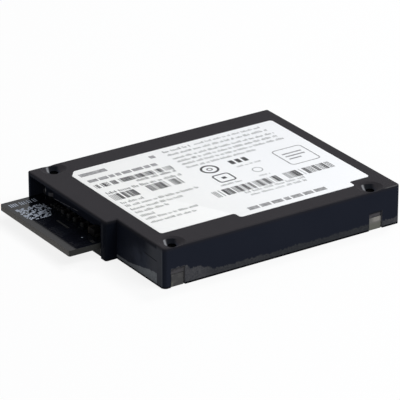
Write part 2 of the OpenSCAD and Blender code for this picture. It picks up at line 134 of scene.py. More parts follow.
class Finish(Nodes):
    """A material in the making, with its coordinates in millimetres and one main shader."""

    def __init__(self, name, **constants):
        self.material = bpy.data.materials.new(name)
        self.material.use_nodes = True
        super().__init__(self.material.node_tree)
        self.shader = self.tree.nodes["Principled BSDF"]
        for socket, value in constants.items():
            self.shader.inputs[socket.replace("_", " ")].default_value = value
        metres = self.node("TexCoord", {}, {}, "Object")
        self.place = self.node("VectorMath", {"operation": "SCALE"},
                               {0: metres, "Scale": 1.0 / MM})
        self.x, self.y, self.z = (self.node("SeparateXYZ", {}, {0: self.place}, axis)
                                  for axis in "XYZ")

    def facing(self):
        """The three parts of the surface's normal."""
        normal = self.node("NewGeometry", {}, {}, "Normal")
        return [self.node("SeparateXYZ", {}, {0: normal}, axis) for axis in "XYZ"]

    def noise(self, scale, detail=2.0, roughness=0.5, at=None):
        """Soft noise from 0 to 1 with about that many features to the millimetre."""
        return self.node("TexNoise", {}, {"Vector": at or self.place, "Scale": scale,
                                          "Detail": detail, "Roughness": roughness}, "Fac")

    def cells(self, scale):
        """Distance to the nearest of scattered points, about that many to the millimetre."""
        return self.node("TexVoronoi", {}, {"Vector": self.place, "Scale": scale}, "Distance")

    def distance(self, point):
        """Distance from a point, in millimetres."""
        return self.node("VectorMath", {"operation": "DISTANCE"}, {0: self.place, 1: point},
                         "Value")

    def stretched(self, x, y, z):
        """The place with each axis stretched, for grain that runs one way."""
        return self.node("VectorMath", {"operation": "MULTIPLY"}, {0: self.place, 1: (x, y, z)})

    def blend(self, mask, first, second):
        """The first colour where the mask is 0, the second where it is 1."""
        return self.node("Mix", {"data_type": "RGBA"}, {"Factor": mask, "A": first, "B": second})

    def bump(self, height, strength, distance, over=None):
        """The normal of a raised pattern, over another normal where one is given."""
        inputs = {"Height": height, "Strength": strength, "Distance": distance}
        if over:
            inputs["Normal"] = over
        return self.node("Bump", {}, inputs)

    def paint(self, **wires):
        """Links what varies to the shader's sockets."""
        for socket, wire in wires.items():
            self.join(wire, self.shader.inputs[socket.replace("_", " ")])
        return self.material


def dress(node, material):
    """Gives a CAD node its material."""
    mesh = nodes[node].data
    mesh.materials.clear()
    mesh.materials.append(material)


def box_mm(node):
    """The lowest and highest corners of a CAD node, in millimetres."""
    return [np.array(corner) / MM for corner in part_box(node)]


case_low, case_high = box_mm("housing")
left_x, front_y, roof_z = case_low[0], case_low[1], case_high[2]
# The front left corner is cut back by this much, so the front part of the left wall is at main_x
corner_cut = 3.3
main_x = left_x + corner_cut
# The screw columns: back left, front left and front right
columns = [(m["pos_m"][0] / MM, m["pos_m"][1] / MM) for m in frame["record"]["mounts"]
           if m["kind"] == "bore"]


def from_columns(f):
    """Where a point lies in plan from the axis of the screw column it is near: x, y, distance."""
    dx = dy = 50.0
    for x, y in columns:
        near = (f.x - x).size().step(5.0, 4.9) * (f.y - y).size().step(5.0, 4.9)
        dx = near * (f.x - x - 50.0) + dx
        dy = near * (f.y - y - 50.0) + dy
    square = dx * dx + dy * dy
    return dx, dy, square.maths("SQRT", square)


def front_band(f, ny, ragged):
    """The front wall's painted reflection, with its tone: a ragged edge that climbs to the left.
    """
    front = ny.step(-0.8, -0.95) * f.y.step(front_y + 0.2, front_y + 0.1)
    reach = (2.0 + f.x.step(-14.0, -17.5) * 1.2 + f.x.step(-18.0, -19.5) * 0.8
             + f.x.step(-21.5, -23.5) * 1.2 + (ragged - 0.5) * 2.2)
    band = front * (reach - f.z).step(-0.1, 0.25) * f.x.step(-27.75, -27.5)
    ends = f.x.step(-15.0, -19.0).top(f.x.step(35.5, 38.0) * 0.75)
    tone = f.blend(f.x.step(-4.0, 6.0), (0.080, 0.082, 0.087), (0.062, 0.065, 0.070))
    return band, f.blend(ends, tone, (0.115, 0.115, 0.123))


def left_band(f, left, ragged):
    """The same painted reflection on the left wall, which rises to the front."""
    climb = 1.3 + f.y.step(-12.0, -27.0) * 2.1 + (ragged - 0.5)
    tone = f.blend(f.y.step(-12.0, -24.0), (0.37, 0.385, 0.41), (0.52, 0.545, 0.57))
    return left * (climb - f.z).step(-0.1, 0.25), tone


def left_wall(f, wall, nx, left, near_main):
    """The left wall carries painted light: a painted reflection of the dark bay shades its upper
    back, painted sheen and painted reflection make it paler low to the front and by the front
    corner, and a painted highlight lies where the corner starts to round. One dark scratch crosses
    it, and a painted highlight runs up the post beside the bay."""
    shade = left * f.y.step(-27.0, -19.0) * f.z.step(2.5, 6.5)
    wall = f.blend(shade * 0.6, wall, (0.006, 0.007, 0.012))
    front_sheen = left * f.y.step(-11.0, -21.0) * f.z.step(9.0, 5.0) * f.noise(0.3).step(0.2, 0.6)
    wall = f.blend(front_sheen * 0.75, wall, (0.092, 0.104, 0.142))
    corner = left * f.y.step(-20.5, -25.5) * f.z.step(10.3, 9.5)
    wall = f.blend(corner * 0.8, wall, (0.150, 0.155, 0.176))
    edge = nx.step(-0.93, -0.97) * near_main * f.y.step(-26.5, -26.8)
    wall = f.blend(edge * 0.85, wall, (0.145, 0.150, 0.172))
    post_glint = nx.step(-0.5, -0.7) * f.x.step(left_x + 0.5, left_x + 0.3)
    post_glint = post_glint * f.y.within(-6.95, -6.2, 0.15) * f.z.within(2.4, 9.8, 0.4)
    wall = f.blend(post_glint * 0.7, wall, (0.12, 0.125, 0.14))
    scratch = (f.z - 6.7 - (f.y + 24.0) * 0.06).size().step(0.2, 0.1)
    return f.blend(left * f.y.step(-20.0, -22.0) * scratch * 0.8, wall, (0.010, 0.011, 0.014))


def bay_marks(f, wall):
    """A painted highlight in a line across the bay's inner wall, and a white spot on the column.
    """
    inner_glint = (f.z + f.y * 0.08 - 6.93).size().step(0.16, 0.06) * f.noise(0.9).step(0.3, 0.5)
    inner_glint = inner_glint * f.x.within(-29.95, -29.6, 0.05) * f.y.within(10.6, 22.2, 0.4)
    wall = f.blend(inner_glint, wall, (0.15, 0.15, 0.165))
    white_spot = f.x.within(-29.4, -28.8, 0.1) * f.y.within(27.35, 27.9, 0.08)
    return f.blend(white_spot * f.z.within(4.9, 5.9, 0.25), wall, (0.85, 0.85, 0.85))


def funnels(f, colour, nz, dx, dy, ring):
    """The funnels are painted: painted shade on their far side, a painted highlight streak on the
    near one, and painted shade down the bore. Across and away are the distances from the axis
    along two lines at right angles."""
    across, away = dx * 0.834 - dy * 0.551, dx * 0.551 + dy * 0.834
    bowl = ring.step(2.75, 2.5) * f.z.step(roof_z - 0.01, roof_z - 0.05) * nz.step(0.2, 0.4)
    bowl = bowl * away.step(-0.6, -0.2)
    far_shade = bowl * across.step(-1.6, -1.1) * across.step(1.5, 0.4)
    streak_glint = bowl * (across + away * 0.22).within(-1.8, -1.22, 0.24)
    bore = ring.step(1.3, 1.2) * nz.size().step(0.5, 0.3)
    colour = f.blend(far_shade, colour, (0.0040, 0.0050, 0.0075))
    colour = f.blend(streak_glint * 0.9, colour, (0.25, 0.255, 0.27))
    return f.blend(bore, colour, (0.002, 0.002, 0.003))


def housing_finish():
    f = Finish("moulded_black", Specular_IOR_Level=0.02)
    nx, ny, nz = f.facing()
    roof = nz.step(0.3, 0.85) * f.z.step(roof_z - 1.2, roof_z - 0.6)
    near_main = f.x.within(main_x - 0.3, main_x + 0.3, 0.1)
    left = nx.step(-0.8, -0.95) * near_main * f.y.step(-26.95, -26.55)
    cloud = f.noise(0.09, 3.0)
    speck = f.noise(5.0, 3.0, 0.7)
    grey = f.blend(cloud, (0.027, 0.0252, 0.0286), (0.033, 0.0308, 0.0348))
    grey = f.blend(speck.step(0.55, 0.75) * 0.5, grey, (0.038, 0.036, 0.040))
    black = f.blend(cloud, (0.0170, 0.0205, 0.0325), (0.0225, 0.0262, 0.0400))
    wall = left_wall(f, black, nx, left, near_main)

    # The painted reflections lie over the walls as rougher bands, mottled and clear of the bottom
    # edge
    ragged = f.noise(0.8, 4.0, 0.75, f.stretched(1, 1, 0.25))
    mottle = f.noise(1.8, 5.0, 0.8).step(0.28, 0.66)
    clear = f.z.step(0.35, 0.6)
    front_rough_reflection, front_reflection_tone = front_band(f, ny, ragged)
    left_rough_reflection, left_reflection_tone = left_band(f, left, ragged)
    wall = f.blend(front_rough_reflection * clear * (0.35 + 0.65 * mottle), wall, front_reflection_tone)
    wall = f.blend(left_rough_reflection * clear * (0.6 + 0.4 * mottle), wall, left_reflection_tone)
    # Painted shade blackens the post between the corner and the bay, and painted light pales the
    # windows' insides
    post_shade = f.x.step(main_x + 0.05, main_x - 0.05) * f.y.step(-5.7, -6.0)
    wall = f.blend(post_shade * 0.75, wall, (0.002, 0.003, 0.006))
    dx, dy, ring = from_columns(f)
    jamb_light = dx.size().step(2.35, 2.15) * f.z.step(5.3, 5.1) * f.z.step(-0.1, 0.1)
    jamb_light = jamb_light * f.y.size().step(-front_y - 0.02, -front_y - 0.08)
    wall = bay_marks(f, f.blend(jamb_light, wall, (0.20, 0.195, 0.21)))
    # The walls' top edges turn towards the tone of the roof
    wall = f.blend(f.z.step(roof_z - 1.3, roof_z - 0.2) * 0.6, wall, grey)
    # Painted shade darkens the bottom edge and the rounded upright corners
    wall = f.blend(f.z.step(0.55, 0.3), wall, (0.004, 0.004, 0.005))
    corner_shade = (nx.size() * ny.size()).step(0.15, 0.4)
    wall = f.blend(corner_shade * (0.15 + 0.45 * f.x.step(0.0, 10.0)), wall, (0.012, 0.014, 0.017))
    # A painted highlight pales the rim round the roof a little, and more at the right end
    rim_glint = nz.within(0.35, 0.8, 0.12) * f.z.step(roof_z - 0.75, roof_z - 0.4)
    wear_and_glint = f.x.step(37.0, 38.5)
    rim_glint_tone = f.blend(wear_and_glint, (0.040, 0.039, 0.043), (0.11, 0.11, 0.112))
    colour = f.blend(rim_glint * (0.5 + 0.5 * wear_and_glint), f.blend(roof, wall, grey), rim_glint_tone)
    colour = funnels(f, colour, nz, dx, dy, ring)

    pits = f.cells(3.2).step(0.0, 0.5)
    grain = f.bump(pits, 0.12 * roof + 0.02, 0.00005, f.bump(speck, 0.35, 0.00005))
    rough = 0.62 - roof * 0.10 + front_rough_reflection.top(left_rough_reflection) * 0.15 + (speck - 0.5) * 0.12
    return f.paint(Base_Color=colour, Roughness=rough, Normal=grain)


dress("housing", housing_finish())

# ---- Base cover ----
# A flat moulded plate that closes the case from below and carries two ribs under the board. It is
# welded into the rebate round the walls, and is satin black like the walls.


def cover_finish():
    f = Finish("satin_black", Specular_IOR_Level=0.05)
    left = f.facing()[0].step(-0.8, -0.95)
    speck = f.noise(4.0, 3.0, 0.7)
    flow = f.noise(0.15, 3.0, 0.6, f.stretched(0.3, 1, 1))
    colour = f.blend(flow.step(0.3, 0.7), (0.012, 0.013, 0.017), (0.020, 0.021, 0.025))
    # Two shallow round witness marks of the ejector pins, one each side of the middle
    marks = [(f.distance((6.0, y, 0.0)) - 3.0).size().step(0.25, 0.05) for y in (12.0, -12.0)]
    # Painted shade blackens its side under the board, with one painted glint
    side_glint = f.y.within(-5.3, -4.8, 0.25) * f.z.within(0.9, 2.2, 0.4)
    colour = f.blend(left, colour, f.blend(side_glint, (0.002, 0.002, 0.003), (0.24, 0.24, 0.245)))
    grain = f.bump(speck, 0.2, 0.00003)
    return f.paint(Base_Color=colour, Roughness=0.42 + speck * 0.12,
                   Normal=f.bump(1.0 - marks[0].top(marks[1]), 0.4, 0.00006, grain))


dress("base_cover", cover_finish())

# ---- Spacers ----
# Three turned sleeves in natural nylon, one pressed up each column, that take the screws' clamp
# load. Each foot has a square toe that shows in its window, and painted shade darkens the toes
# low down.


def nylon_finish():
    f = Finish("natural_nylon", Specular_IOR_Level=0.25)
    rings = f.noise(6.0, 2.0, 0.5, f.stretched(0.1, 0.1, 1))
    cloud = f.noise(0.7, 3.0)
    ring = from_columns(f)[2]
    # Painted light on the right toe, painted shade on the feet, and the front left toe is darker
    right_x = columns[2][0]
    toe_light = (f.x - right_x).within(-0.6, 1.5, 0.7) * f.z.step(1.9, 2.5)
    toe_tone = f.blend(toe_light, (0.205, 0.20, 0.19), (0.42, 0.40, 0.37))
    toe_tone = f.blend(cloud.step(0.4, 0.8) * 0.3, toe_tone, (0.16, 0.155, 0.145))
    foot_shade = f.z.step(2.2, 1.4) * (0.7 + 0.3 * f.noise(1.3, 3.0))
    colour = f.blend(foot_shade * 0.85, toe_tone, (0.165, 0.170, 0.140))
    front_left_dark = f.x.step(-20.0, -22.0) * f.y.step(0.0, -2.0) * (0.6 + 0.4 * cloud.step(0.3, 0.6))
    pale = f.x.step(-26.6, -27.2) * f.z.step(1.6, 0.9)
    front_left_dark = front_left_dark * (1.0 - 0.7 * pale)
    colour = f.blend(front_left_dark, colour, (0.062, 0.061, 0.063))
    # Painted shade down the bore above the toes
    colour = f.blend(ring.step(1.3, 1.2) * f.z.step(2.0, 4.0), colour, (0.006, 0.006, 0.006))
    return f.paint(Base_Color=colour, Roughness=0.42 + 0.15 * rings,
                   Normal=f.bump(rings, 0.15, 0.00004))


dress("mounting_spacers", nylon_finish())

# ---- Cell, tabs and pads ----
# A flat lithium cell in embossed aluminium laminate lies between two foam pads, and two nickel
# tabs are welded from it to the board. All of it is closed in once the cover is on.


def foil_finish():
    f = Finish("cell_foil", Metallic=1.0)
    dents = f.cells(1.1)
    wrinkle = f.noise(0.25, 4.0, 0.6, f.stretched(1, 3, 1))
    colour = f.blend(wrinkle, (0.52, 0.53, 0.55), (0.66, 0.67, 0.69))
    normal = f.bump(dents, 0.35, 0.00006, f.bump(wrinkle, 0.5, 0.0003))
    return f.paint(Base_Color=colour, Roughness=0.32 + 0.2 * wrinkle, Normal=normal)


def nickel_finish():
    f = Finish("nickel_strip", Metallic=1.0)
    drawn = f.noise(9.0, 2.0, 0.5, f.stretched(0.05, 1, 1))
    spots = f.cells(1.4).step(0.30, 0.15)
    colour = f.blend(drawn, (0.56, 0.55, 0.51), (0.68, 0.67, 0.63))
    return f.paint(Base_Color=f.blend(spots * 0.6, colour, (0.30, 0.29, 0.27)),
                   Roughness=0.25 + 0.15 * drawn, Normal=f.bump(spots, 0.5, -0.0001))


def foam_finish():
    f = Finish("closed_cell_foam", Specular_IOR_Level=0.1)
    pores = f.cells(4.0)
    colour = f.blend(pores.step(0.0, 0.4), (0.006, 0.006, 0.007), (0.028, 0.028, 0.030))
    return f.paint(Base_Color=colour, Roughness=0.85 + 0.1 * f.noise(1.0),
                   Normal=f.bump(pores, 0.8, 0.00015))


dress("cell", foil_finish())
nickel = nickel_finish()
dress("positive_tab", nickel)
dress("negative_tab", nickel)
foam = foam_finish()
dress("upper_cell_pad", foam)
dress("lower_cell_pad", foam)

# ---- Circuit board ----
# Glass-epoxy laminate, 1.6 mm thick, under a glossy black solder mask with the copper's relief
# faintly visible. The routed edges are bare and show the greyish glass and resin.

board_top = box_mm("circuit_board")[1][2]


def board_finish():
    f = Finish("black_solder_mask", Specular_IOR_Level=0.14)
    ny, nz = f.facing()[1:]
    side = nz.size().step(0.75, 0.5)
    layers = f.noise(2.0, 3.0, 0.7, f.stretched(0.9, 0.9, 5))
    edge = f.blend(layers.step(0.35, 0.65), (0.095, 0.088, 0.086), (0.235, 0.224, 0.208))
    edge = f.blend(f.z.step(3.7, 4.4) * 0.45, edge, (0.060, 0.056, 0.060))
    # Painted shade: the edges facing front and back are darker than the end
    end = f.blend(layers, (0.025, 0.026, 0.025), (0.045, 0.046, 0.044))
    edge = f.blend(ny.size().step(0.4, 0.8), edge, end)
    mask = f.blend(f.noise(0.2), (0.0030, 0.0034, 0.0058), (0.0050, 0.0056, 0.0086))
    # Copper under the mask: tracks in rows, lifted a little and a shade lighter
    pitch = 0.42
    across = f.y + f.x.step(-31, -26) * 1.6
    lanes = (across.maths("PINGPONG", across, pitch) / pitch).step(0.45, 0.6)
    lanes = lanes * f.noise(0.35, 0.0, 0.5, f.stretched(0.5, 1.6, 1)).step(0.48, 0.55)
    lanes = lanes * f.x.step(-39.6, -39.0)
    colour = f.blend(side, f.blend(lanes * 0.5, mask, (0.010, 0.012, 0.017)), edge)
    weave = f.noise(3.0, 2.0)
    normal = f.bump(lanes, 0.25, 0.00003, f.bump(weave, 0.03, 0.00002))
    return f.paint(Base_Color=colour, Roughness=0.06 + 0.05 * weave + side * 0.5, Normal=normal)


dress("circuit_board", board_finish())

# ---- Marks on the board ----
# White epoxy ink, screened on the solder mask: a field of small square cells, a row of short bars
# at the back and one small square. One bar and the ticks beside the parts are copper free of the
# mask, under dull solder.


def quad_slabs(rects, low, high):
    """Closed flat slabs: each row of rects (x0, y0, x1, y1) gives its four corners at two heights,
    and six faces join them."""
    x0, y0, x1, y1 = np.asarray(rects, float).T
    ring = np.stack([np.stack([x0, y0], 1), np.stack([x1, y0], 1),
                     np.stack([x1, y1], 1), np.stack([x0, y1], 1)], 1)
    levels = [np.concatenate([ring, np.full(ring.shape[:2] + (1,), z)], 2) for z in (low, high)]
    corners = np.concatenate(levels, 1)
    sides = np.array([[3, 2, 1, 0], [4, 5, 6, 7], [0, 1, 5, 4], [1, 2, 6, 5], [2, 3, 7, 6],
                      [3, 0, 4, 7]])
    first = 8 * np.arange(len(corners))[:, None, None]
    return corners.reshape(-1, 3), [(first + sides).reshape(-1, 4)]


def piece(name, skins, material):
    """One object from several skins in millimetres, riding on the body."""
    points, faces, start = [], [], 0
    for corners, groups in skins:
        points.append(corners)
        for group in groups:
            faces += (np.asarray(group) + start).tolist()
        start += len(corners)
    mesh = bpy.data.meshes.new(name)
    mesh.from_pydata(np.concatenate(points) * MM, [], faces)
    mesh.shade_smooth()
    mesh.set_sharp_from_angle(angle=math.radians(35))
    mesh.materials.append(material)
    made = bpy.data.objects.new(name, mesh)
    bpy.context.scene.collection.objects.link(made)
    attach(made, "root")
    return made


def board_ink():
    f = Finish("white_board_ink", Specular_IOR_Level=0.3)
    wear_and_glint = f.noise(2.5, 3.0, 0.6)
    colour = f.blend(wear_and_glint.step(0.35, 0.7), (0.38, 0.42, 0.49), (0.21, 0.235, 0.285))
    return f.paint(Base_Color=colour, Roughness=0.5 + 0.2 * wear_and_glint)


def cell_field(rng):
    """Cells on a square grid, kept at random inside a slanted edge: more often in clumps, which
    are where a sum of two sines is high."""
    pitch = 0.44
    i, j = np.meshgrid(np.arange(20), np.arange(18), indexing="ij")
    x, y = -41.0 + i * pitch, 15.2 + j * pitch
    clump = np.sin(i * 1.7 + 2.0 * np.sin(j * 0.9)) + np.sin(j * 1.3 - i * 0.6)
    kept = rng.random(x.shape) < 0.5 + 0.22 * clump
    reach = np.where(y < 19.3, -34.5 + (y - 15.3) * 0.55, -32.3)
    kept &= (x + pitch < reach) & (x > -40.5 - (y - 15.2) * 0.3)
    x, y = x[kept], y[kept]
    return np.stack([x, y, x + pitch * 0.92, y + pitch * 0.92], 1)


def upright_bars(x, wide, y0, y1):
    """Rows x0, y0, x1, y1 of bars that start at each x and all reach from y0 to y1."""
    return np.stack([x, np.full(len(x), y0), x + wide, np.full(len(x), y1)], 1)


def strokes(x, count, pitch):
    """Equal bars side by side at the back of the tongue, each half a pitch wide."""
    foot, head = 24.9, 26.8
    return upright_bars(x + np.arange(count) * pitch, pitch * 0.5, foot, head)


def board_marks():
    """Slabs of ink: the cells, four groups of bars and the square."""
    rng = np.random.default_rng(5)
    fields = [cell_field(rng),
              strokes(-40.9, 4, 0.62), strokes(-37.9, 3, 0.66),
              strokes(-35.7, 2, 0.66), strokes(-34.0, 2, 0.62),
              np.array([[-35.5, -0.75, -35.1, -0.3]])]
    return quad_slabs(np.concatenate(fields), board_top - 0.01, board_top + 0.02)


def board_lines():
    """Slabs of soldered copper: one bar on the tongue and short ticks beside the parts."""
    return quad_slabs([(-35.45, 6.2, -34.85, 11.8), (-32.9, 4.9, -32.6, 5.6),
                       (-32.9, 10.2, -32.6, 10.9), (-32.9, 13.2, -32.6, 13.8),
                       (-33.6, 20.4, -32.9, 20.7), (-34.8, -4.8, -33.9, -3.2)],
                      board_top - 0.01, board_top + 0.015)


def dull_finish():
    f = Finish("dull_solder", Specular_IOR_Level=0.05)
    frost = f.noise(5.0, 4.0, 0.7)
    colour = f.blend(frost.step(0.3, 0.7), (0.012, 0.012, 0.013), (0.030, 0.030, 0.030))
    return f.paint(Base_Color=colour, Roughness=0.5 + 0.2 * frost,
                   Normal=f.bump(frost, 0.3, 0.00004))


dull = dull_finish()
piece("board_marks", [board_marks()], board_ink())
piece("board_copper", [board_lines()], dull)

# ---- Window webs ----
# A thin web of the moulding closes each window above the sleeve's toe, a little behind the wall's
# face. It is greyer than the wall.

window_w, window_h, clearance = 4.2, 5.0, 0.04
web_foot, web_thick, web_setback = 3.46, 0.24, 0.5


def web_finish():
    f = Finish("moulded_web", Specular_IOR_Level=0.02)
    dx = from_columns(f)[0]
    # On the web at the right, painted shade lies along the top and down the right edge
    web_edge_shade = f.x.step(0.0, 1.0) * f.z.step(4.3, 4.55).top(dx.step(1.55, 1.75))
    cloud = f.noise(1.5, 4.0, 0.7).step(0.3, 0.7)
    pale = f.blend(cloud, (0.082, 0.080, 0.088), (0.125, 0.120, 0.128))
    return f.paint(Base_Color=f.blend(web_edge_shade * 0.8, pale, (0.020, 0.023, 0.034)),
                   Roughness=0.6 + 0.2 * f.noise(3.0))


def window_webs():
    """One upright slab per window: as wide as the window and up to its top, less the clearance,
    with its middle set back from the wall's face."""
    half = np.array([window_w / 2 - clearance, web_thick / 2])
    middles = [(x, math.copysign(-front_y - web_setback, y)) for x, y in columns]
    return [quad_slabs([[*(middle - half), *(middle + half)]], web_foot, window_h - clearance)
            for middle in np.array(middles)]


piece("window_webs", window_webs(), web_finish())

# ---- Board connector ----
# A low two-row socket in beige liquid-crystal polymer, soldered under the tongue. Its contacts
# are stamped from phosphor bronze with a thin flash of gold.


def connector_finish():
    f = Finish("beige_polymer", Specular_IOR_Level=0.4)
    flow = f.noise(0.6, 4.0, 0.65, f.stretched(1, 0.25, 1))
    speck = f.noise(8.0, 2.0)
    colour = f.blend(flow.step(0.3, 0.7), (0.56, 0.52, 0.43), (0.66, 0.62, 0.52))
    return f.paint(Base_Color=colour, Roughness=0.38 + speck * 0.12,
                   Normal=f.bump(speck, 0.1, 0.00003))


def gold_finish():
    f = Finish("gold_flash", Metallic=1.0)
    wear = f.noise(3.0, 3.0)
    colour = f.blend(wear.step(0.35, 0.7), (0.83, 0.62, 0.26), (0.72, 0.56, 0.30))
    return f.paint(Base_Color=colour, Roughness=0.2 + 0.15 * wear)


dress("board_connector", connector_finish())
dress("connector_contacts", gold_finish())

# ---- Chips and transistors ----
# Transfer-moulded black epoxy with a spark-eroded skin and a polished dot by the first pin. The
# gull-wing leads are tinned copper alloy, soldered to the board.


def epoxy_finish(dot):
    f = Finish("moulded_epoxy", Specular_IOR_Level=0.35)
    speck = f.noise(7.0, 3.0, 0.7)
    body = f.blend(speck, (0.010, 0.010, 0.011), (0.022, 0.022, 0.023))
    spot = f.distance(dot).step(0.36, 0.30)
    return f.paint(Base_Color=body, Roughness=0.55 - 0.3 * spot + 0.1 * speck,
                   Normal=f.bump(spot, 0.6, -0.0001, f.bump(speck, 0.3, 0.00004)))


def tin_finish():
    f = Finish("dull_tin", Metallic=1.0)
    frost = f.noise(4.0, 4.0, 0.7)
    colour = f.blend(frost, (0.16, 0.16, 0.17), (0.26, 0.26, 0.27))
    return f.paint(Base_Color=colour, Roughness=0.24 + 0.2 * frost,
                   Normal=f.bump(frost, 0.2, 0.00004))


tin = tin_finish()
for node in ("gauge_chip_leads", "memory_chip_leads", "transistor_leads"):
    dress(node, tin)
dot_inset = 0.7
for node in ("gauge_chip", "charger_chip", "memory_chip", "switch_transistors", "diodes"):
    low, high = box_mm(node)
    dress(node, epoxy_finish((low[0] + dot_inset, high[1] - dot_inset, high[2])))

# ---- Inductor, fuse, shunt and thermistor ----
# A shielded coil in grey ferrite, a ceramic fuse block, a metal-strip shunt under dark green
# lacquer and a bead thermistor in black epoxy that rests on the cell's edge.


def stone_finish(name, dark, light, scale, rough, level):
    f = Finish(name, Specular_IOR_Level=level)
    grain = f.noise(scale, 5.0, 0.75)
    fleck = f.cells(scale * 0.6).step(0.12, 0.04)
    colour = f.blend(fleck * 0.3, f.blend(grain.step(0.3, 0.7), dark, light), dark)
    return f.paint(Base_Color=colour, Roughness=rough + 0.15 * grain,
                   Normal=f.bump(grain, 0.3, 0.00004))


dress("power_inductor", stone_finish("ferrite", (0.030, 0.030, 0.033), (0.055, 0.055, 0.060),
                                     3.0, 0.45, 0.4))
dress("fuse_block", stone_finish("fuse_ceramic", (0.55, 0.52, 0.44), (0.68, 0.65, 0.57),
                                 2.0, 0.5, 0.3))
dress("sense_resistor", stone_finish("green_lacquer", (0.008, 0.022, 0.012),
                                     (0.014, 0.035, 0.020), 2.5, 0.3, 0.5))
dress("thermistor", stone_finish("bead_epoxy", (0.007, 0.007, 0.008), (0.014, 0.014, 0.015),
                                 2.0, 0.15, 0.5))

# ---- Ceramic capacitors ----
# Blocks of fired ceramic with a cap of dull solder over each end, by which they are soldered to
# their pads. The caps are dipped, so they are a little proud of the body and rounded.


def seats(node):
    """The box of each separate solid of a node: corners at one place share a number, and the
    lowest number of a triangle spreads to its corners until nothing changes."""
    mesh = nodes[node].data
    mesh.calc_loop_triangles()
    points = np.empty(3 * len(mesh.vertices))
    mesh.vertices.foreach_get("co", points)
    points = points.reshape(-1, 3) / MM
    corners = np.empty(3 * len(mesh.loop_triangles), np.int32)
    mesh.loop_triangles.foreach_get("vertices", corners)
    same = np.unique(points.round(4), axis=0, return_inverse=True)[1].ravel()
    triangles = same[corners.reshape(-1, 3)]
    label = np.arange(same.max() + 1)
    while True:
        spread = label.copy()
        np.minimum.at(spread, triangles, label[triangles].min(1)[:, None])
        if (spread == label).all():
            break
        label = spread
    group = label[same]
    boxes = [(points[group == g].min(0), points[group == g].max(0)) for g in np.unique(group)]
    return sorted(boxes, key=lambda box: tuple(box[0]))


def rounded_ring(low, high, radius):
    """A rounded rectangle, anticlockwise: a quarter circle about the centre of each corner."""
    turn = np.linspace(0, np.pi / 2, 5)
    quarter = np.arange(4)[:, None] * np.pi / 2 + turn
    right, upper = np.array([[1], [0], [0], [1]]), np.array([[1], [1], [0], [0]])
    cx = np.where(right, high[0] - radius, low[0] + radius)
    cy = np.where(upper, high[1] - radius, low[1] + radius)
    return np.stack([cx + radius * np.cos(quarter), cy + radius * np.sin(quarter)], -1
                    ).reshape(-1, 2)


def skin(rings):
    """A closed skin over rings of equal count: four-sided faces between neighbours and one face
    over each end."""
    rings = np.asarray(rings, float)
    rows, count = rings.shape[:2]
    at = np.arange(rows * count).reshape(rows, count)
    ahead = np.roll(at, -1, 1)
    quads = np.stack([at[:-1], ahead[:-1], ahead[1:], at[1:]], -1).reshape(-1, 4)
    return rings.reshape(-1, 3), [quads, at[:1, ::-1], at[-1:]]


def cushioned(low, high, corner, edge, axis=2):
    """A block with rounded upright corners and rounded rims: the ring shrinks by edge times
    1 - sin(t) while the level moves by edge times 1 - cos(t) at each end of the axis."""
    a, b = (axis + 1) % 3, (axis + 2) % 3
    turn = np.linspace(0, np.pi / 2, 4)
    inset, rise = edge * (1 - np.sin(turn)), edge * (1 - np.cos(turn))
    insets = np.concatenate([inset, inset[::-1]])
    levels = np.concatenate([low[axis] + rise, high[axis] - rise[::-1]])
    rings = []
    for shrink, level in zip(insets, levels):
        flat = rounded_ring((low[a] + shrink, low[b] + shrink),
                            (high[a] - shrink, high[b] - shrink),
                            max(corner - shrink, 0.02))
        ring = np.empty((len(flat), 3))
        ring[:, a], ring[:, b], ring[:, axis] = flat[:, 0], flat[:, 1], level
        rings.append(ring)
    return skin(rings)


def capped_blocks(node, side, end, foot, top, cap, body_round, cap_round):
    """The bodies and caps of a node's blocks, one to each box of seats. A body is drawn in from
    its box by side, end, foot and top, a cap reaches that far along each end, and each is
    rounded by the radius of its corners and of its rims."""
    bodies, caps = [], []
    for low, high in seats(node):
        along = int(np.argmax((high - low)[:2]))
        inset = np.full(3, side)
        inset[along] = end
        body_low, body_high = low + inset, high - inset
        body_low[2], body_high[2] = low[2] + foot, high[2] - top
        bodies.append(cushioned(body_low, body_high, *body_round))
        near, far = high.copy(), low.copy()
        near[along], far[along] = low[along] + cap, high[along] - cap
        caps.append(cushioned(low, near, *cap_round, along))
        caps.append(cushioned(far, high, *cap_round, along))
    return bodies, caps


def ceramic_finish():
    f = Finish("fired_ceramic", Specular_IOR_Level=0.05)
    speck = f.noise(6.0, 4.0, 0.7)
    cloud = f.noise(0.35)
    # The body is painted near black, as painted shade in the bay
    colour = f.blend(cloud, (0.006, 0.005, 0.006), (0.011, 0.008, 0.008))
    return f.paint(Base_Color=f.blend(speck.step(0.5, 0.8) * 0.4, colour, (0.006, 0.005, 0.005)),
                   Roughness=0.35 + 0.2 * speck, Normal=f.bump(speck, 0.2, 0.00003))


bodies, caps = capped_blocks("ceramic_capacitors", side=0.06, end=0.2, foot=0.02, top=0.05,
                             cap=0.42, body_round=(0.08, 0.06), cap_round=(0.12, 0.10))
body = piece("capacitor_bodies", bodies, ceramic_finish())
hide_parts("ceramic_capacitors")
piece("capacitor_caps", caps, dull)

# ---- Chip resistors ----
# Thin dark grey chips of ceramic with a black film on top. Their ends are wrapped in dull solder,
# which joins them to the board.


def resistor_finish():
    f = Finish("resistor_film", Specular_IOR_Level=0.08)
    top = f.z.step(board_top + 0.33, board_top + 0.36)
    speck = f.noise(6.0, 3.0)
    colour = f.blend(top, f.blend(speck, (0.055, 0.055, 0.052), (0.085, 0.085, 0.080)),
                     (0.008, 0.008, 0.010))
    return f.paint(Base_Color=colour, Roughness=0.45 - 0.2 * top + 0.1 * speck)


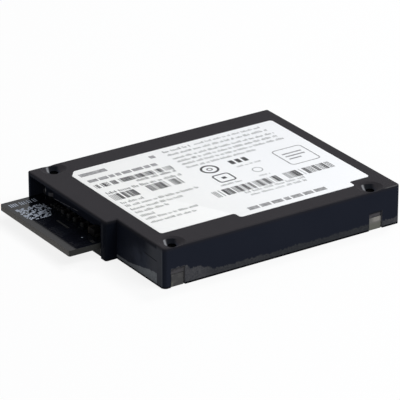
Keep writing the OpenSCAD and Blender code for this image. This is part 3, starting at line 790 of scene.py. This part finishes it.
bodies, caps = capped_blocks("chip_resistors", side=0.02, end=0.1, foot=0.0, top=0.015,
                             cap=0.26, body_round=(0.04, 0.03), cap_round=(0.05, 0.05))
body = piece("resistor_bodies", bodies, resistor_finish())
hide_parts("chip_resistors")
piece("resistor_caps", caps, dull)

# ---- Tantalum capacitors ----
# Moulded blocks with slightly drafted sides and a polarity stripe. Tabs folded under each end and
# up its face carry them, and are dull with solder.


def tantalum_finish():
    f = Finish("tantalum_moulding", Specular_IOR_Level=0.04)
    speck = f.noise(6.0, 3.0, 0.7)
    colour = f.blend(speck, (0.004, 0.004, 0.005), (0.008, 0.007, 0.007))
    # One stripe across each of the two blocks, near its back end
    stripe = f.y.within(0.2, 0.75, 0.04).top(f.y.within(-3.65, -3.1, 0.04))
    colour = f.blend(stripe * 0.85, colour, (0.020, 0.016, 0.013))
    return f.paint(Base_Color=colour, Roughness=0.4 + 0.2 * speck,
                   Normal=f.bump(speck, 0.25, 0.00004))


def drafted(low, high, corner, draft, waist):
    """A moulded block widest at its parting line: the ring's inset is draft times the distance
    from the waist, and both rims are eased."""
    levels = np.array([0, 0.04, waist, 0.93, 0.98, 1.0])
    eased = np.array([0.04, 0, 0, 0, 0.03, 0.09])
    insets = draft * np.abs(levels - waist) + eased
    rings = []
    for level, shrink in zip(levels, insets):
        flat = rounded_ring((low[0] + shrink, low[1] + shrink),
                            (high[0] - shrink, high[1] - shrink), corner)
        z = low[2] + level * (high[2] - low[2])
        rings.append(np.concatenate([flat, np.full((len(flat), 1), z)], 1))
    return skin(rings)


def tantalums():
    """A drafted body per capacitor, with a foot and an upright tab at each end of it."""
    half, foot, thick, tall, edge = 0.95, 0.5, 0.13, 0.85, 0.04
    bodies, tabs = [], []
    for low, high in seats("tantalum_capacitors"):
        inset = np.array([0.05, 0.14, 0.0])
        bodies.append(drafted(low + inset + [0, 0, 0.12], high - inset,
                              corner=0.12, draft=0.16, waist=0.45))
        x0, x1 = (low[0] + high[0]) / 2 - half, (low[0] + high[0]) / 2 + half
        for long, z0, z1 in ((foot, 0.0, 0.14), (thick, 0.02, tall)):
            for y0, y1 in ((low[1], low[1] + long), (high[1] - long, high[1])):
                tabs.append(cushioned((x0, y0, low[2] + z0), (x1, y1, low[2] + z1), edge, edge))
    return bodies, tabs


bodies, tabs = tantalums()
body = piece("tantalum_bodies", bodies, tantalum_finish())
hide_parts("tantalum_capacitors")
piece("tantalum_tabs", tabs, dull)

# ---- Face label ----
# A white film label, die-cut in one piece with a clipped corner at the back left and a lug along
# its front edge, stuck on the roof. Its cut edge is slightly rounded.

label_low, label_high = box_mm("face_label")
ink_room = 0.03
film_top = label_high[2] - ink_room


def filleted(points, radius, steps=6):
    """Outline with each corner replaced by an arc: the arc starts at radius times tan(a / 2) from
    the corner, where a is the turn there, and its centre lies one radius inside both edges."""
    points = np.asarray(points, float)
    before = points - np.roll(points, 1, 0)
    after = np.roll(points, -1, 0) - points
    before /= np.linalg.norm(before, axis=1)[:, None]
    after /= np.linalg.norm(after, axis=1)[:, None]
    turn = np.arctan2(before[:, 0] * after[:, 1] - before[:, 1] * after[:, 0],
                      (before * after).sum(1))
    run = radius * np.abs(np.tan(turn / 2))
    start = points - before * run[:, None]
    left = np.stack([-before[:, 1], before[:, 0]], 1) * np.sign(turn)[:, None]
    centre = start + left * radius
    share = np.linspace(0, 1, steps + 1)
    angle = np.arctan2(-left[:, 1], -left[:, 0])[:, None] + turn[:, None] * share
    arc = np.stack([np.cos(angle), np.sin(angle)], -1) * radius
    return (centre[:, None, :] + arc).reshape(-1, 2)


def label_outline(inset):
    """The label's edge moved inwards: a rectangle with a lug along its front and a clipped back
    left corner, whose two ends come nearer to the moved corner by 0.45 of the inset."""
    radius, side_gap, lug_depth, clip = 0.8, 0.25, 2.7, 2.4
    x0, y0 = label_low[:2] + [side_gap + inset, inset]
    x1, y1 = label_high[:2] - [side_gap + inset, inset]
    front, lug_x0, lug_x1 = y0 + lug_depth, x0 + 21.95, x1 - 6.55
    nearer = 0.45 * inset
    return filleted([(x0, front), (lug_x0, front), (lug_x0, y0), (lug_x1, y0), (lug_x1, front),
                     (x1, front), (x1, y1), (x0 + 0.8 * clip - nearer, y1),
                     (x0, y1 - clip + nearer)], radius)


def label_skin():
    """Rings of the outline up the cut edge, drawn in towards the top to round it."""
    edge = 0.03
    rings = []
    for inset, z in ((0, label_low[2]), (0, film_top - edge), (edge * 0.3, film_top - edge * 0.3),
                     (edge, film_top)):
        flat = label_outline(inset)
        rings.append(np.concatenate([flat, np.full((len(flat), 1), z)], 1))
    return skin(rings)


def film_finish():
    f = Finish("label_film", Specular_IOR_Level=0.3)
    tint = f.blend(f.x.step(-20.0, 30.0), (0.97, 0.97, 0.955), (0.905, 0.915, 0.935))
    fibre = f.noise(1.2, 4.0, 0.6)
    handled = f.noise(0.06, 3.0, 0.6).step(0.35, 0.75)
    colour = f.blend(fibre.step(0.35, 0.75) * 0.2, tint, (0.86, 0.87, 0.885))
    colour = f.blend(handled * 0.15, colour, (0.84, 0.845, 0.855))
    ripple = f.noise(0.12, 2.0)
    normal = f.bump(ripple, 0.15, 0.0004, f.bump(fibre, 0.05, 0.00002))
    return f.paint(Base_Color=colour, Roughness=0.42 + fibre * 0.12, Normal=normal)


film = piece("label_film", [label_skin()], film_finish())
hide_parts("face_label")

# ---- Label print ----
# Thermal-transfer print in dark grey resin, all of it plain: bar fields, rows of separate ticks
# in place of lines of text, solid blocks for the headings, and a few rings and open squares.


def print_lines(rng, x0, x1, y0, y1, stroke, pitch):
    """A row of separate upright ticks on one foot line: each tick has one of three heights, and
    one in every three to eight is left out."""
    count = int((x1 - x0) / pitch)
    x = x0 + np.arange(count) * pitch
    gaps = np.cumsum(rng.integers(3, 9, count))
    x = x[~np.isin(np.arange(count), gaps)]
    tall = (y1 - y0) * rng.choice((0.62, 0.62, 0.85, 1.0), len(x))
    wide = stroke * rng.uniform(0.85, 1.35, len(x))
    return np.stack([x, np.full(len(x), y0), x + wide, y0 + tall], 1)


def blocks(rng, x0, x1, y0, y1, gap, lengths):
    """Solid blocks of random length in one row, with the same gap between them."""
    size = rng.uniform(*lengths, int((x1 - x0) / lengths[0]))
    start = x0 + np.concatenate([[0.0], np.cumsum(size + gap)[:-1]])
    kept = start + size < x1
    return upright_bars(start[kept], size[kept], y0, y1)


def bar_field(rng, x0, x1, y0, y1, heavy, gaps=()):
    """Upright bars of random width on a fine pitch, wide where the field is heavy and left out
    at the gaps."""
    pitch = 0.5
    x = np.arange(x0, x1 - pitch, pitch)
    dense = np.zeros(len(x), bool)
    for a, b in heavy:
        dense |= (x > a - 0.2) & (x < b)
    wide = np.where(dense, rng.uniform(0.55, 0.9, len(x)), rng.uniform(0.2, 0.48, len(x)))
    kept = dense | (rng.random(len(x)) < 0.85)
    for a, b in gaps:
        kept &= (x < a) | (x > b)
    return upright_bars(x[kept], wide[kept] * pitch, y0, y1)


def stroke_path(points, width):
    """A printed line: the path moved half its width to each side, closed as a flat slab."""
    points = np.asarray(points, float)
    along = np.gradient(points, axis=0)
    along /= np.linalg.norm(along, axis=1)[:, None]
    side = np.stack([-along[:, 1], along[:, 0]], 1) * width / 2
    ring = np.stack([points - side, points + side], 1)
    low, high = [np.concatenate([ring, np.full(ring.shape[:2] + (1,), z)], 2)
                 for z in (ink_low, ink_top)]
    return skin(np.concatenate([low, high[:, ::-1]], 1))


def ring_path(x, y, radius, width, count=33):
    """A closed printed ring."""
    t = np.linspace(0, 2 * np.pi, count)
    return stroke_path(np.stack([x + radius * np.cos(t), y + radius * np.sin(t)], 1), width)


def square_path(x0, y0, x1, y1, radius, width):
    """A closed printed frame with rounded corners."""
    edge = filleted([(x0, y0), (x1, y0), (x1, y1), (x0, y1)], radius, 4)
    return stroke_path(np.concatenate([edge, edge[:1]]), width)


ink_low = film_top - 0.01
ink_top = label_high[2] - 0.002


def ink_finish():
    f = Finish("resin_print", Specular_IOR_Level=0.2)
    thin = f.noise(1.5, 4.0, 0.7)
    colour = f.blend(thin.step(0.45, 0.8) * 0.7, (0.030, 0.030, 0.033), (0.16, 0.16, 0.165))
    return f.paint(Base_Color=colour, Roughness=0.45 + 0.2 * thin)


def grey_ink_finish():
    f = Finish("fine_print", Specular_IOR_Level=0.2)
    thin = f.noise(1.1, 4.0, 0.7)
    colour = f.blend(thin.step(0.3, 0.7), (0.22, 0.22, 0.225), (0.42, 0.42, 0.43))
    return f.paint(Base_Color=colour, Roughness=0.5 + 0.2 * thin)


def label_print():
    """The dark print: slabs for bars, blocks and ticks, and the paths of two rings, one in the
    other, and of a frame."""
    rng = np.random.default_rng(11)
    dark = [
        # Two bar fields, each with a row of ticks
        bar_field(rng, -24.1, -0.2, 9.9, 12.3, [(-23.9, -23.2), (-21.8, -20.6), (-19.4, -18.0),
                                                (-16.0, -12.7), (-11.9, -9.8), (-8.7, -7.6),
                                                (-5.2, -4.0), (-1.4, -0.4)]),
        print_lines(rng, -13.0, -0.3, 8.2, 9.6, 0.22, 0.55),
        print_lines(rng, -23.8, -0.8, 5.4, 6.8, 0.24, 0.6),
        bar_field(rng, -24.1, -2.6, 1.0, 4.8, [(-22.4, -21.3), (-20.6, -20.0), (-19.0, -17.0),
                                               (-13.0, -12.0), (-10.9, -8.5), (-5.5, -4.6),
                                               (-3.9, -2.7)], [(-16.4, -13.6), (-7.6, -6.2)]),
        # Three solid blocks beside the rings, a small square in the frame, and the long bar field
        np.array([[13.3, 3.9, 14.6, 6.3], [15.3, 3.9, 16.6, 6.3], [17.3, 3.9, 18.6, 6.3],
                  [6.2, -2.6, 7.4, -1.4]]),
        bar_field(rng, -1.8, 35.5, -11.8, -8.0, [(1.5, 4.0), (5.6, 6.4), (7.6, 8.6), (9.8, 10.6),
                                                 (12.3, 13.0), (14.2, 15.1), (17.0, 18.3),
                                                 (22.6, 24.4), (26.6, 27.6), (29.4, 30.4),
                                                 (32.0, 33.0)], [(18.6, 19.5), (24.8, 25.6)]),
    ]
    for end, low, high in [(-16.7, -1.6, -0.3), (-1.6, -3.8, -2.5), (-7.8, -6.2, -5.0),
                           (-13.5, -8.4, -7.1), (-19.0, -10.9, -9.6), (-7.9, -13.1, -11.8),
                           (-9.9, -15.4, -14.4)]:
        dark.append(print_lines(rng, -23.8, end, low, high, 0.18, 0.52))
    skins = [quad_slabs(np.concatenate(dark), ink_low, ink_top)]
    skins += [ring_path(6.6, 4.5, 2.25, 0.62), ring_path(6.6, 4.5, 0.7, 0.3, 17),
              square_path(4.4, -4.3, 9.2, 0.3, 0.8, 0.45)]
    return skins


def fine_print():
    """The grey print: slabs for blocks, bars and ticks, and the paths of a ring and of a
    frame."""
    rng = np.random.default_rng(23)
    # A solid heading bar, with blocks under it and on the lug
    grey = [np.array([[-23.8, 18.3, -15.8, 20.1]]),
            blocks(rng, -23.8, -2.5, 14.1, 15.7, 0.5, (1.2, 3.4)),
            blocks(rng, 1.0, 25.0, -22.5, -20.8, 0.6, (1.6, 3.8))]
    grey.append(print_lines(rng, 2.4, 11.5, 19.8, 21.0, 0.34, 0.62))
    for y, end in ((17.5, 34.0), (14.9, 34.5), (12.7, 34.0), (10.5, 34.5), (8.2, 24.0)):
        grey.append(print_lines(rng, 2.4, end, y, y + 1.15, 0.24, 0.5))
    grey.append(print_lines(rng, 12.3, 34.0, 20.0, 21.0, 0.2, 0.5))
    grey += [print_lines(rng, 13.5, 21.0, 1.5, 2.4, 0.2, 0.5),
             print_lines(rng, 3.2, 10.0, -6.3, -5.4, 0.26, 0.5),
             print_lines(rng, 15.0, 18.5, -6.4, -5.6, 0.2, 0.5),
             print_lines(rng, 6.0, 25.5, -13.4, -12.2, 0.24, 0.58),
             print_lines(rng, 6.5, 25.0, -15.2, -14.1, 0.24, 0.58),
             np.array([[27.6, 1.6, 33.6, 2.2], [27.6, -0.1, 33.6, 0.5], [27.6, -1.8, 31.4, -1.2],
                       [-2.3, 18.6, -0.7, 20.2]])]
    skins = [quad_slabs(np.concatenate(grey), ink_low, ink_top)]
    # A plain ring, and a large frame round its three bars
    skins += [ring_path(16.9, -2.4, 1.35, 0.24, 25),
              square_path(26.2, -5.0, 35.2, 5.0, 1.0, 0.34)]
    return skins


piece("label_print", label_print(), ink_finish())
piece("label_fine_print", fine_print(), grey_ink_finish())

# ---- Table, light and camera ----
# A pale table under a broad soft box at the front right and a small one behind, with a long lens
# that looks down on the case's front left corner.


def shown(plan):
    """1 for rays from the camera, in reflections and through glass, and 0 for all other light."""
    rays = [plan.node("LightPath", {}, {}, "Is %s Ray" % name)
            for name in ("Camera", "Glossy", "Transmission")]
    return rays[0].top(rays[1]).top(rays[2])


def table():
    """A top that looks white, but throws less light on the object than white paper would."""
    mesh = bpy.data.meshes.new("table")
    far = 3.0
    mesh.from_pydata([(-far, -far, 0), (far, -far, 0), (far, far, 0), (-far, far, 0)], [],
                     [(0, 1, 2, 3)])
    floor = bpy.data.objects.new("table", mesh)
    bpy.context.scene.collection.objects.link(floor)
    material = bpy.data.materials.new("table_top")
    material.use_nodes = True
    material.node_tree.nodes.clear()
    plan = Nodes(material.node_tree)
    seen = shown(plan)
    paper = plan.node("Mix", {"data_type": "RGBA"},
                      {"Factor": seen, "A": (0.36, 0.36, 0.36), "B": (0.97, 0.97, 0.97)})
    matt = plan.node("BsdfDiffuse", {}, {"Color": paper})
    glow = plan.node("Emission", {}, {"Color": (1.0, 1.0, 1.0), "Strength": 1.0})
    plan.node("OutputMaterial", {}, {
        "Surface": plan.node("MixShader", {}, {0: seen * 0.85, 1: matt, 2: glow})})
    mesh.materials.append(material)


def studio():
    """A dim room that looks white to the camera and in reflections."""
    world = bpy.data.worlds.new("studio")
    bpy.context.scene.world = world
    world.use_nodes = True
    world.node_tree.nodes.clear()
    plan = Nodes(world.node_tree)
    dim = plan.node("Background", {}, {"Color": (0.93, 0.96, 1.0), "Strength": 0.29})
    white = plan.node("Background", {}, {"Color": (1.0, 1.0, 1.0), "Strength": 1.0})
    plan.node("OutputWorld", {}, {
        "Surface": plan.node("MixShader", {}, {0: shown(plan), 1: dim, 2: white})})


def soft_box(name, place, size, energy):
    """A square lamp at that place in metres, turned to the object."""
    lamp = bpy.data.lights.new(name, "AREA")
    lamp.size = size
    lamp.energy = energy
    box = bpy.data.objects.new(name, lamp)
    bpy.context.scene.collection.objects.link(box)
    box.location = place
    box.rotation_euler = Vector(place).to_track_quat("Z", "Y").to_euler()


table()
studio()
soft_box("broad_light", (0.30, -0.45, 0.84), 0.6, 6.1)
soft_box("back_light", (0.56, 0.23, 0.79), 0.22, 2.8)

lens = bpy.data.cameras.new("camera")
lens.lens = 291.8
lens.sensor_width = 36.0
lens.shift_x = 0.00135
lens.shift_y = -0.0012
lens.clip_start = 0.05
eye = bpy.data.objects.new("camera", lens)
bpy.context.scene.collection.objects.link(eye)
eye.location = (-0.41891, -0.63510, 0.34762)
eye.rotation_euler = (math.radians(65.81), 0, math.radians(-33.44))
bpy.context.scene.camera = eye

bpy.context.scene.view_settings.view_transform = "Standard"
